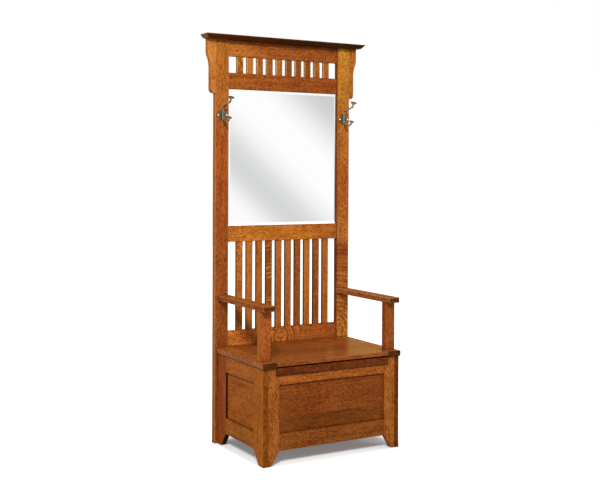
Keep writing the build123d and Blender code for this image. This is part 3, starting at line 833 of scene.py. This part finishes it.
# The glow is faint inside the seat's footprint and full white a little outside it: a painted shadow
# under the seat.
share = add_node(tree, "MapRange", inputs={"Value": away, "From Max": white_reach})
rise = add_node(tree, "ValToRGB", inputs={0: share}, stops=[
    (place, (strength, strength, strength, 1.0))
    for place, strength in ((0.0, 0.17), (0.008, 0.33), (0.035, 0.8), (0.08, 1.0))
])
glow_round_painted_shadow = add_node(tree, "Emission", inputs={"Color": rise, "Strength": 1.0})
lifted = add_node(tree, "AddShader", inputs={0: white_paint, 1: glow_round_painted_shadow})
shown = add_node(tree, "MixShader", inputs={0: seen, 1: matte, 2: lifted})
add_node(tree, "OutputMaterial", inputs={0: shown})
floor_mesh.materials.append(floor_paint)

# The surround is white to the camera. To gloss it has two soft grey sweeps, which lie aslant in
# the mirror, and behind the seat it is amber, which keeps the shine on the boards warm.
world = bpy.data.worlds.new("studio")
bpy.context.scene.world = world
world.use_nodes = True
tree = world.node_tree
tree.nodes.clear()
path = add_node(tree, "LightPath")
seen = path.outputs["Is Camera Ray"]
for ray in ("Is Glossy Ray", "Is Transmission Ray"):
    seen = add_node(tree, "Math", {"operation": "MAXIMUM"}, {0: seen, 1: path.outputs[ray]})
ways = add_node(tree, "TexCoord")
sweep_lean = (0.866, 0.5, 1.0)
sweep_low, sweep_high = -0.15, 0.30
sweep_tones = (
    (-0.105, "#fcfcfc"), (-0.056, "#d6d8d7"), (0.005, "#fefefe"), (0.029, "#fefefe"),
    (0.098, "#cccecd"), (0.16, "#cccecd"), (0.26, "#ffffff"),
)
aslant = add_node(tree, "VectorMath", {"operation": "DOT_PRODUCT"}, {
    0: ways.outputs["Generated"], 1: sweep_lean,
})
sweep = add_node(tree, "MapRange", inputs={
    "Value": aslant.outputs["Value"], "From Min": sweep_low, "From Max": sweep_high,
})
sweep = add_node(tree, "ValToRGB", inputs={0: sweep}, stops=[
    ((place - sweep_low) / (sweep_high - sweep_low), linear(code)) for place, code in sweep_tones
])
sweep.color_ramp.interpolation = "EASE"
heading = add_node(tree, "SeparateXYZ", inputs={0: ways.outputs["Generated"]})
above = add_node(tree, "MapRange", inputs={
    "Value": heading.outputs["Z"], "From Min": 0.11, "From Max": 0.17,
})
behind = add_node(tree, "MapRange", inputs={"Value": heading.outputs["Y"], "From Max": 0.15})
gloss = sweep
for share, code in ((above, "#fdfdfc"), (behind, "#ffcd7c")):
    gloss = add_node(tree, "Mix", {"data_type": "RGBA"}, {
        0: share, 6: gloss, 7: linear(code),
    }).outputs[2]
tint = add_node(tree, "Mix", {"data_type": "RGBA"}, {
    0: path.outputs["Is Glossy Ray"], 6: linear("#ffffff"), 7: gloss,
})
soft = add_node(tree, "Background", inputs={"Color": linear("#ffffff"), "Strength": 0.28})
white = add_node(tree, "Background", inputs={"Color": tint.outputs[2], "Strength": 1.0})
around = add_node(tree, "MixShader", inputs={0: seen, 1: soft, 2: white})
add_node(tree, "OutputWorld", inputs={0: around})

lamps = (
    ("key_lamp", (-3.4, -4.4, 4.5), 1.3, 420.0),
    ("side_lamp", (4.6, -2.0, 2.6), 2.4, 60.0),
)
aim = Vector((0.0, 0.1, 0.95))
for name, place, side, watts in lamps:
    data = bpy.data.lights.new(name, "AREA")
    data.shape = "SQUARE"
    data.size = side
    data.energy = watts
    lamp = bpy.data.objects.new(name, data)
    lamp.location = place
    lamp.rotation_euler = (aim - Vector(place)).to_track_quat("-Z", "Y").to_euler()
    bpy.context.scene.collection.objects.link(lamp)

# Camera
# Its place, direction and shift were solved from the photograph's edges. Angles are in degrees,
# and the principal point is in pixels of the photograph.

image_width, image_height = 600, 500
principal_x, principal_y = 303.99, 183.13
focal_pixels = 1014.86
camera_place = (-2.4362, -4.1824, 1.2990)
camera_turn = 30.03
camera_tilt = 0.59
camera_roll = 0.27
camera_data = bpy.data.cameras.new("camera")
camera_data.sensor_width = 36.0
camera_data.lens = focal_pixels * camera_data.sensor_width / image_width
camera_data.shift_x = (image_width / 2 - principal_x) / image_width
camera_data.shift_y = (principal_y - image_height / 2) / image_width
camera = bpy.data.objects.new("camera", camera_data)
camera.matrix_world = (
    Matrix.Translation(camera_place)
    @ Matrix.Rotation(math.radians(-camera_turn), 4, "Z")
    @ Matrix.Rotation(math.radians(90 - camera_tilt), 4, "X")
    @ Matrix.Rotation(math.radians(camera_roll), 4, "Z")
)
bpy.context.scene.collection.objects.link(camera)
bpy.context.scene.camera = camera
bpy.context.scene.view_settings.view_transform = "Standard"
